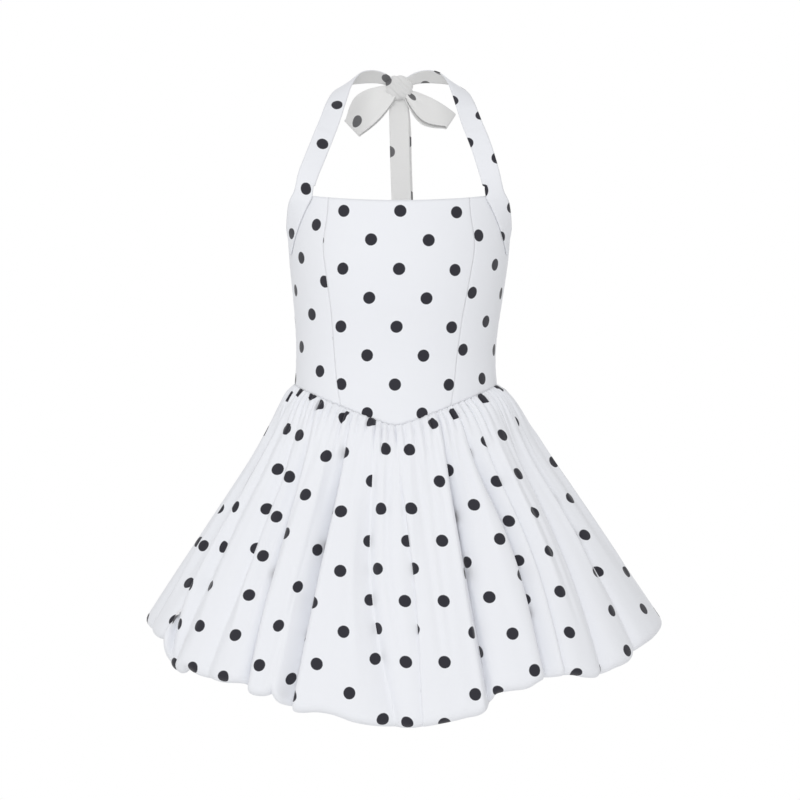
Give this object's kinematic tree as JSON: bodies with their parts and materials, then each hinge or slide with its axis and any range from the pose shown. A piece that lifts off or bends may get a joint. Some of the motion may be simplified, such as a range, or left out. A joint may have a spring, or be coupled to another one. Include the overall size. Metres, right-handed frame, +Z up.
{
  "type": "bubble dress",
  "caption": "Halter-neck dress with a fitted princess-seamed bodice, pointed waist and gathered bubble skirt, tied in a bow at the nape, filled out as worn.",
  "frame": {"origin": "at the nape, on the inner face of the tied neck band, where the wearer's neck holds the dress", "axes": "+Z up, +X to the right seen from the front, the front faces -Y"},
  "size_m": [0.6519, 0.4123, 0.8193],
  "materials": {
    "cotton_print": "matt cotton, white with dark dots",
    "cotton_tie": "matt cotton, wrong side of the same cloth",
    "zip_tape": "woven tape",
    "zip_metal": "satin"
  },
  "bodies": {
    "dress": {"back_zip": "zip_tape", "bodice_back_left": "cotton_print", "bodice_back_right": "cotton_print", "bodice_front_centre": "cotton_print", "bodice_side_front_left": "cotton_print", "bodice_side_front_right": "cotton_print", "bow_loop_left": "cotton_tie", "bow_loop_right": "cotton_tie", "halter_strap_left": "cotton_print", "halter_strap_right": "cotton_print", "neck_knot": "cotton_tie", "skirt_back_left": "cotton_print", "skirt_back_right": "cotton_print", "skirt_front": "cotton_print", "tie_tail_inner": "cotton_tie", "tie_tail_outer": "cotton_tie", "zip_slider": "zip_metal"},
    "zip_pull": {"zip_pull": "zip_metal"}
  },
  "joints": [
    {"name": "zip_pull_swing", "type": "hinge", "parent": "dress", "child": "zip_pull", "pos_m": [0, 0.02809, -0.2135], "axis": [1, 0, 0], "range_deg": [0, 170]}
  ]
}
